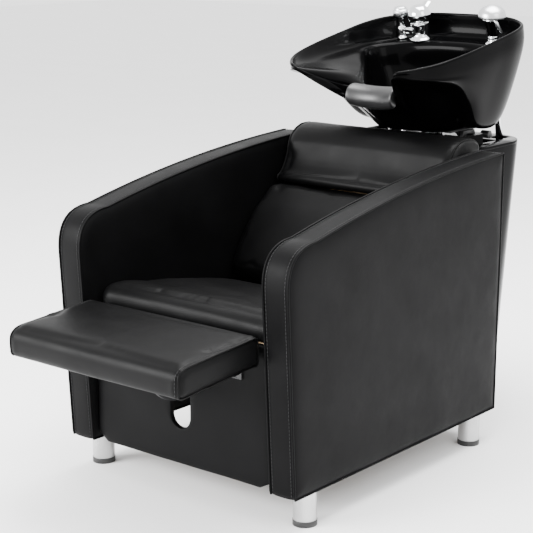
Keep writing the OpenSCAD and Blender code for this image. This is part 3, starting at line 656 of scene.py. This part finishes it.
def make_back():
    lower = [[672, 566], [514, 356], [480, 356], [464, 376]]
    lower += list(bezier([458, 396], [488, 472], [556, 530], 10))
    lower += [[606, 568], [636, 568]]
    shape = bolster_shape(side_profile(lower), 241, 12)

    def held_lower(p):
        p[:, 0] = np.clip(p[:, 0], -0.2475, 0.2475)
        return p

    back = stuffed("back_pad", (chair(shape[0]), shape[1]), 0.011, held_lower)
    cover(back, seat_vinyl, "chair", ["back_cushion"])

    upper = list(bezier([618, 588], [652, 594], [668, 654], 8))
    upper += list(bezier([674, 674], [698, 710], [736, 711], 8))
    upper += list(bezier([746, 710.6], [784, 708], [790, 686], 8))
    upper += [[786, 680], [766, 674], [750, 668], [750, 612], [686, 574], [644, 578]]
    shape = bolster_shape(side_profile(upper), 241, 8)

    def held_upper(p):
        p[:, 0] = np.clip(p[:, 0], -0.2475, 0.2475)
        p[:, 2] = np.minimum(p[:, 2], 0.7205)
        return p

    bolster = stuffed("head_bolster", (chair(shape[0]), shape[1]), 0.010, held_upper)
    loop = side_profile(upper, 7)
    loop = loop + (loop - loop.mean(0)) * 0.08
    welts = []
    for x in (-235, 235):
        path = chair(np.stack([np.full(len(loop), x), loop[:, 0], loop[:, 1]], 1))
        path = on_surface(bolster, path)
        seam(bolster, path, 0.0030, 0.010)
        welts.append(tube(on_surface(bolster, path, 0.0006), 0.0022, 8, closed=True))
    cover(bolster, seat_vinyl, "chair", ["back_bolster"])
    build("bolster_welts", join(welts), seat_vinyl, "chair")


def make_leg_rest():
    low, top, length, round_over = 10.5, 76.5, 243, 30
    profile = [[0, low + 4], [1, top - 16]]
    profile += list(bezier([1, top - 14], [1, top - 5], [-12, top - 5], 6))
    profile += list(bezier([-length + round_over + 12, top - 5], [-length + 5, top - 6],
                           [-length + 5, top - round_over - 4], 10))
    profile += list(bezier([-length + 5, low + 14], [-length + 5, low + 2], [-length + 18, low + 2], 6))
    loop = side_profile(profile, 7)
    half = 237
    shape = bolster_shape(loop, half, 7)

    def held(p):
        y = p[:, 1] * 1000 + MID_Y - HINGE_Y
        z = p[:, 2] * 1000 - HINGE_Z
        c, s = math.cos(REST_TILT), math.sin(REST_TILT)
        local_y, local_z = y * c + z * s, z * c - y * s
        local_z = np.maximum(local_z, low)
        local_y = np.clip(local_y, -length - 4, 4)
        x = np.clip(p[:, 0] * 1000, -246, 246)
        return leg_rest(np.stack([x, local_y, local_z], 1))

    pad = stuffed("leg_pad", (leg_rest(shape[0]), shape[1]), 0.008, held)
    welts, rows = [], []
    grown = loop + (loop - loop.mean(0)) * 0.03
    for x in (-half + 1, half - 1):
        path = leg_rest(np.stack([np.full(len(grown), x), grown[:, 0], grown[:, 1]], 1))
        path = on_surface(pad, path)
        seam(pad, path, 0.0028, 0.009)
        welts.append(tube(on_surface(pad, path, 0.0007), 0.0021, 8, closed=True))
        shifted = path - (math.copysign(0.008, x), 0, 0)
        rows.append(stitches(on_surface(pad, shifted, 0.0002), closed=True))
    cover(pad, seat_vinyl, "leg_rest", ["legrest_pad"])
    build("leg_pad_welts", join(welts), seat_vinyl, "leg_rest")
    build("leg_pad_stitching", join(rows), thread, "leg_rest")


# ---------- bowl

# Half of each loop, from the rear middle round the left side, the front tip and the neck notch
# to the front middle, as in the CAD source: [x, v, w] of the bowl, from the rim to the floor.
RIM = [[0, 533, 0], [80, 530, 0], [150, 512, 0], [205, 465, 0], [226, 400, 0], [228, 320, 0],
       [227, 240, 0], [222, 165, 0], [208, 90, 0], [178, 32, 0], [140, 2, -4], [112, 50, -40],
       [82, 112, -75], [45, 130, -88], [0, 134, -90]]
WALL_FOOT = [[0, 509, -56], [80, 507, -56], [140, 489, -56], [181, 444, -54], [202, 388, -48],
             [206, 315, -41], [204, 238, -35], [196, 168, -30], [182, 106, -26], [160, 60, -22],
             [134, 36, -20], [104, 78, -52], [76, 126, -84], [42, 143, -95], [0, 147, -97]]
BASIN_EDGE = [[0, 450, -57], [72, 446, -57], [128, 430, -57], [164, 402, -57], [179, 372, -57],
              [179, 336, -57], [160, 296, -58], [138, 260, -61], [118, 228, -65], [100, 202, -69],
              [84, 180, -74], [68, 165, -81], [50, 158, -90], [27, 158, -98], [0, 159, -101]]
BASIN_SIDE = [[0, 438, -120], [65, 434, -120], [116, 418, -120], [148, 392, -120], [160, 362, -120],
              [158, 328, -120], [142, 295, -120], [124, 266, -120], [108, 240, -120], [94, 219, -120],
              [80, 202, -122], [65, 191, -124], [48, 185, -127], [26, 184, -130], [0, 184, -131]]
BASIN_FOOT = [[0, 418, -180], [52, 415, -180], [92, 402, -180], [118, 380, -180], [128, 352, -180],
              [124, 324, -180], [112, 298, -178], [98, 276, -175], [86, 258, -173], [74, 244, -171],
              [62, 234, -170], [50, 227, -169], [36, 223, -168], [19, 222, -168], [0, 222, -168]]

# the same stations on the outside, as [x, y, z] of the chair
SKIRT_UPPER = [[0, 1096, 905], [80, 1093, 905], [150, 1075, 903], [204, 1029, 897], [224, 964, 887],
               [225, 888, 874], [224, 811, 864], [219, 739, 860], [205, 662, 856], [176, 604, 859],
               [137, 575, 860], [110, 616, 832], [82, 682, 796], [45, 700, 784], [0, 704, 782]]
SKIRT_EDGE = [[0, 1080, 770], [75, 1077, 770], [132, 1060, 768], [168, 1018, 755], [180, 960, 728],
              [186, 876, 740], [202, 806, 796], [208, 737, 834], [199, 660, 846], [172, 608, 852],
              [133, 585, 854], [104, 630, 822], [76, 690, 786], [42, 712, 773], [0, 716, 771]]
SKIRT_LOW = [[0, 1062, 728], [68, 1059, 728], [112, 1044, 726], [138, 1006, 718], [142, 955, 711],
             [140, 893, 718], [142, 838, 760], [145, 782, 798], [136, 720, 815], [120, 682, 822],
             [100, 672, 822], [84, 696, 803], [64, 738, 764], [36, 758, 747], [0, 762, 744]]
FOOT = [[0, 1040, 707], [52, 1037, 707], [84, 1022, 707], [98, 996, 707], [104, 962, 707],
        [106, 926, 707], [104, 892, 707], [99, 866, 706], [91, 848, 706], [80, 836, 706], [67, 827, 706],
        [53, 821, 706], [37, 817, 706], [19, 815, 706], [0, 814, 706]]
DRAIN_V, FLOOR_W = 345, -206


def to_bowl(points):
    p = np.asarray(points, float) - (0, TIP_Y, TIP_Z)
    c, s = math.cos(RIM_TILT), math.sin(RIM_TILT)
    return np.stack([p[:, 0], p[:, 1] * c + p[:, 2] * s, p[:, 2] * c - p[:, 1] * s], 1)


def drain_ring(radius, w):
    a = math.radians(90) - np.arange(15) * math.pi / 14
    return np.stack([radius * np.cos(a), DRAIN_V + radius * np.sin(a), np.full(15, w)], 1)


def around(half, steps=6):
    """A half loop closed by its mirror image and smoothed."""
    half = np.asarray(half, float)
    mirrored = half[-2:0:-1] * (-1, 1, 1)
    return curve_through(np.vstack([half, mirrored]), steps, closed=True)


def drawn_in(loop, by):
    """A level loop drawn in sideways by a distance, one number or one for each point."""
    along = np.roll(loop, -1, 0) - np.roll(loop, 1, 0)
    out = np.cross(along, (0, 0, -1))
    out /= np.maximum(np.linalg.norm(out, axis=1, keepdims=True), 1e-9)
    return loop - out * np.broadcast_to(by, (len(loop),))[:, None]


def make_bowl():
    rim = around(RIM)
    lip = 8.6
    inner = [drawn_in(rim, lip) - (0, 0, 5)]
    inner += [around(h) for h in (WALL_FOOT, BASIN_EDGE, BASIN_SIDE, BASIN_FOOT)]
    inner += [around(drain_ring(60, FLOOR_W + 4)), around(drain_ring(26, FLOOR_W))]
    inside = curve_through(inner, 6)[::-1]
    nose = []
    for turn in np.linspace(0, math.pi, 9)[1:-1]:
        nose.append(drawn_in(rim, lip / 2 * (1 + math.cos(turn))) - (0, 0, 5 - 5 * math.sin(turn)))
    station = np.arange(len(rim)) / 6
    station = np.minimum(station, 28 - station)
    front = np.clip((station - 8.6) / 1.6, 0, 1)
    front = front * front * (3 - 2 * front)
    outer = [rim - (0, 0, 5)] + [around(to_bowl(h)) for h in (SKIRT_UPPER, SKIRT_EDGE, SKIRT_LOW, FOOT)]
    outside = curve_through(outer, 8)
    under = around(drain_ring(44, FLOOR_W - 23))
    shares = np.array([0.03, 0.1, 0.5, 1.0])[:, None, None]
    outside = np.concatenate([outside, outside[-1] + (under - outside[-1]) * shares])
    for i in range(1, 10):
        groove = np.interp(i / 8, (0, 0.3, 0.5, 0.7, 0.9, 1.15), (0, 1.0, 3.4, 3.2, 0, 0))
        outside[i] = drawn_in(outside[i], front * groove)
    rings = np.concatenate([inside, np.array(nose), outside])
    verts, faces = loft(rings)
    build("wash_bowl", (bowl(verts), faces), bowl_gloss, "bowl", ["bowl_basin", "bowl_skirt"], 1)


def make_neck_rest():
    """The soft gel rest moulded over the lip of the neck notch."""
    section = np.array([[13, -2], [5, 8], [-11, 10], [-27, 3], [-36, -13], [-33, -29], [-22, -38],
                        [-14, -36], [-21, -26], [-16, -11], [-2, 1.5], [12, -5]], float)
    section = curve_through(section, 5, closed=True)
    centre = section.mean(0)
    rings = []
    stations = [(-66, 0.6), (-65.7, 0.82), (-64, 0.94), (-60, 1)]
    stations += [(x, 1) for x in np.linspace(-50, 50, 11)]
    stations += [(-x, share) for x, share in reversed(stations[:4])]
    for x, share in stations:
        bend = x * x / 6700
        bulge = 1 + 0.07 * math.cos(x / 66 * math.pi / 2)
        loop = centre + (section - centre) * share * bulge
        rings.append(np.stack([np.full(len(loop), x), 134 - 22 * bend + loop[:, 0], -90 + 15 * bend + loop[:, 1]], 1))
    verts, faces = loft(rings, caps=(0, -1))
    obj = build("neck_pad", (ripple(bowl(verts), 0.05, 0.0008, 2.0), faces), gel, "bowl",
                ["neck_rest"], 1)


# ---------- spray head and vacuum breaker

def on_deck(shape, x, tilt=0.0, about=0.0):
    """A shape on the bowl's deck, leaning by tilt to the sitter's left about a point up its axis."""
    p = np.asarray(shape[0], float) - (0, 0, about)
    c, s = math.cos(tilt), math.sin(tilt)
    p = np.stack([p[:, 0] * c + p[:, 2] * s, p[:, 1], p[:, 2] * c - p[:, 0] * s + about], 1)
    return bowl(p + (x, TAP_V, DECK_W)), shape[1]


def make_spray():
    cap = lathe(curve_through([(0, 74), (12, 74), (24, 72), (30, 68.5), (33, 68), (34, 70), (33.6, 75),
                               (30.5, 83), (23, 90.5), (12, 95.5), (3, 97), (0, 97)], 3))
    neck = lathe(curve_through([(0, 22), (12, 22), (13.5, 26), (15, 36), (18, 50), (21, 62), (22, 69),
                                (20, 75), (0, 76)], 3))
    ferrule = lathe([(0, 5.5), (8.6, 5.5), (9, 6), (9, 12), (12.4, 12.5), (13, 13.2), (13, 18.8), (12.4, 19.5),
                     (11.2, 20), (11.2, 22), (12.6, 22.6), (12.6, 25.4), (12, 26), (0, 26)])
    collar = lathe([(0, 60.5), (21.6, 60.5), (22.8, 61.3), (22.9, 63.7), (22, 64.5), (0, 64.5)])
    path = curve_through([(14, -12, 65), (19, -14, 58), (24, -11, 44), (29, -5, 30)], 6)
    trigger = tube(path, np.interp(np.arange(len(path)), (0, 2, 9, 16, 18), (2.5, 4.6, 4.4, 3.2, 1.6)), 12)
    faces = [lathe([(0, 72.6), (22, 72.6), (23, 71.6), (23, 71), (0, 71)])]
    for r, count in ((5, 6), (11, 12), (17, 18)):
        for a in np.linspace(0, 2 * math.pi, count, endpoint=False):
            nub, loops = lathe([(0, 69.6), (0.9, 69.6), (1.2, 70.4), (1.2, 71.5), (0, 71.5)], 8)
            faces.append((nub + (r * math.cos(a), r * math.sin(a), 0), loops))
    lean = math.radians(7)
    build("spray_cap", on_deck(cap, SPRAY_X, lean, 70), spray_metal, "spray",
          ["spray_head"])
    build("spray_nozzles", on_deck(join(faces), SPRAY_X, lean, 70), black_plastic, "spray")
    build("spray_handle", on_deck(neck, SPRAY_X), dark_chrome, "spray")
    build("spray_trigger", on_deck(trigger, SPRAY_X), spray_metal, "spray")
    build("spray_ferrule", on_deck(join([ferrule, collar]), SPRAY_X), chrome, "spray")


def make_breaker():
    stem = lathe([(0, -40), (9, -40), (9, -22), (14, -22), (14, -14), (9, -14), (9, 0.6), (13.4, 0.6), (14, 1.2),
                  (14, 5), (13, 6.2), (9.6, 8.4), (9, 9.5), (9, 13), (11.6, 14.6), (12, 15.4), (12, 29), (11.4, 30.4),
                  (8.4, 32.6), (8, 33.6), (8, 55), (9, 57), (9, 60), (0, 60)])
    cap = lathe([(0, 58.5), (12, 58.5), (15.4, 59.8), (16, 60.6), (16, 62.2), (19.2, 63), (20, 64), (20, 73.6),
                 (19.2, 75), (16.6, 76), (16, 77), (15.6, 80), (14.4, 82), (11, 83.4), (0, 84)])
    build("breaker_stem", on_deck(stem, BREAKER_X), chrome, "bowl", ["vacuum_breaker"])
    build("breaker_cap", on_deck(cap, BREAKER_X), spray_metal, "bowl")


for hand, which in ((1, "left"), (-1, "right")):
    make_arm(hand, which)
make_front_panel()
make_seat()
make_back()
make_leg_rest()
make_bowl()
make_neck_rest()
make_spray()
make_breaker()


# ---------- stage, light and camera

def area_light(name, place, aim, size, power):
    light = bpy.data.lights.new(name, "AREA")
    light.shape = "RECTANGLE"
    light.size, light.size_y = size
    light.energy = power
    obj = bpy.data.objects.new(name, light)
    obj.location = place
    obj.rotation_euler = (Vector(aim) - Vector(place)).to_track_quat("-Z", "Y").to_euler()
    scene.collection.objects.link(obj)
    return obj


def make_stage():
    floor_mesh = bpy.data.meshes.new("floor")
    reach = 14
    floor_mesh.from_pydata([(-reach, -reach, 0), (reach, -reach, 0), (reach, reach, 0), (-reach, reach, 0)],
                           [], [(0, 1, 2, 3)])
    floor = bpy.data.objects.new("floor", floor_mesh)
    floor_look = Shader("floor", (0.93, 0.93, 0.93), Roughness=0.9, Specular_IOR_Level=0.2)
    floor_look.use("Base Color", floor_look.colours(
        floor_look.spread(floor_look.noise(3, 3), 0, 1), (0.92, 0.92, 0.92), (0.94, 0.94, 0.94)))
    floor_mesh.materials.append(floor_look.material)
    scene.collection.objects.link(floor)

    world = bpy.data.worlds.new("studio")
    world.use_nodes = True
    scene.world = world
    background = world.node_tree.nodes["Background"]
    background.inputs["Color"].default_value = (1, 1, 1, 1)
    background.inputs["Strength"].default_value = 2.3
    area_light("key", (-1.6, -3.2, 1.6), (0, -0.1, 0.4), (2.4, 1.4), 340)
    area_light("side", (3.2, -0.6, 2.2), (0, 0, 0.4), (1.6, 2.2), 40)
    area_light("top", (0.2, 0.6, 3.4), (0, 0.1, 0.5), (2.4, 2.4), 300)


def make_camera():
    camera = bpy.data.cameras.new("camera")
    camera.sensor_width = 36
    camera.lens = 101.3
    camera.shift_y = 0.063
    obj = bpy.data.objects.new("camera", camera)
    place, aim = Vector((2.0547, -2.6430, 1.2121)), Vector((-0.0297, -0.1052, 0.3689))
    obj.location = place
    obj.rotation_euler = (aim - place).to_track_quat("-Z", "Y").to_euler()
    scene.collection.objects.link(obj)
    scene.camera = obj


make_stage()
make_camera()
